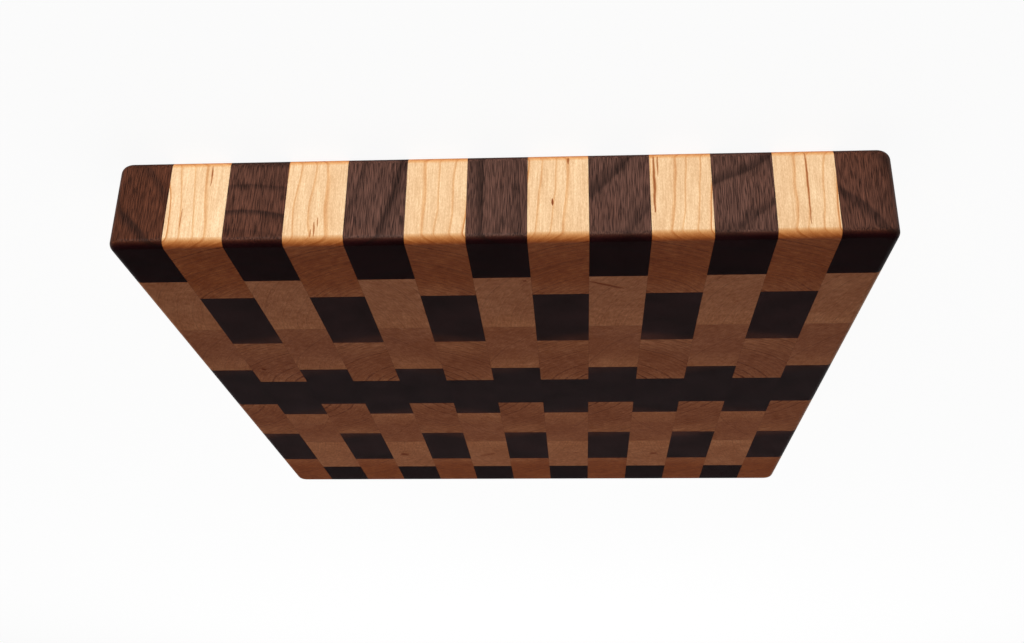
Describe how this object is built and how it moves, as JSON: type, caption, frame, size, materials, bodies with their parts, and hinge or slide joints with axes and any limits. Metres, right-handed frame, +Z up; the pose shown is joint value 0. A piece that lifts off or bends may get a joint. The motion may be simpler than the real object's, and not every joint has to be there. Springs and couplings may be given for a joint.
{
  "type": "cutting board",
  "caption": "End-grain cutting board of walnut and maple blocks in a staggered checker pattern, with rounded arrises and corners.",
  "frame": {"origin": "centre of the board's footprint, on the face that it rests on", "axes": "+Z up, out of the upper broad face and along the wood fibres; +Y along the strips, the board's length; +X across the strips, its width"},
  "size_m": [0.3048, 0.331, 0.038],
  "materials": {
    "walnut": "oiled satin",
    "maple": "oiled satin"
  },
  "bodies": {
    "root": {"even_strips_blocks_b_maple": "maple", "odd_strips_blocks_b_maple": "maple", "strip_01_block_a_walnut": "walnut", "strip_01_block_b_maple": "maple", "strip_01_block_c_maple": "maple", "strip_01_block_d_walnut": "walnut", "strip_01_block_e_maple": "maple", "strip_01_block_f_walnut": "walnut", "strip_01_block_g_maple": "maple", "strip_02_block_a_walnut": "walnut", "strip_02_block_g_maple": "maple", "strip_02_blocks_c_e_maple": "maple", "strip_02_blocks_d_f_walnut": "walnut", "strip_03_block_a_walnut": "walnut", "strip_03_block_g_maple": "maple", "strip_03_blocks_c_e_maple": "maple", "strip_03_blocks_d_f_walnut": "walnut", "strip_04_block_a_walnut": "walnut", "strip_04_block_g_maple": "maple", "strip_04_blocks_c_e_maple": "maple", "strip_04_blocks_d_f_walnut": "walnut", "strip_05_block_a_walnut": "walnut", "strip_05_block_g_maple": "maple", "strip_05_blocks_c_e_maple": "maple", "strip_05_blocks_d_f_walnut": "walnut", "strip_06_block_a_walnut": "walnut", "strip_06_block_g_maple": "maple", "strip_06_blocks_c_e_maple": "maple", "strip_06_blocks_d_f_walnut": "walnut", "strip_07_block_a_walnut": "walnut", "strip_07_block_g_maple": "maple", "strip_07_blocks_c_e_maple": "maple", "strip_07_blocks_d_f_walnut": "walnut", "strip_08_block_a_walnut": "walnut", "strip_08_block_g_maple": "maple", "strip_08_blocks_c_e_maple": "maple", "strip_08_blocks_d_f_walnut": "walnut", "strip_09_block_a_walnut": "walnut", "strip_09_block_g_maple": "maple", "strip_09_blocks_c_e_maple": "maple", "strip_09_blocks_d_f_walnut": "walnut", "strip_10_block_a_walnut": "walnut", "strip_10_block_g_maple": "maple", "strip_10_blocks_c_e_maple": "maple", "strip_10_blocks_d_f_walnut": "walnut", "strip_11_block_a_walnut": "walnut", "strip_11_block_g_maple": "maple", "strip_11_blocks_c_e_maple": "maple", "strip_11_blocks_d_f_walnut": "walnut", "strip_12_block_a_walnut": "walnut", "strip_12_block_g_maple": "maple", "strip_12_blocks_c_e_maple": "maple", "strip_12_blocks_d_f_walnut": "walnut", "strip_13_block_a_walnut": "walnut", "strip_13_block_b_maple": "maple", "strip_13_block_c_maple": "maple", "strip_13_block_d_walnut": "walnut", "strip_13_block_e_maple": "maple", "strip_13_block_f_walnut": "walnut", "strip_13_block_g_maple": "maple"}
  },
  "joints": []
}
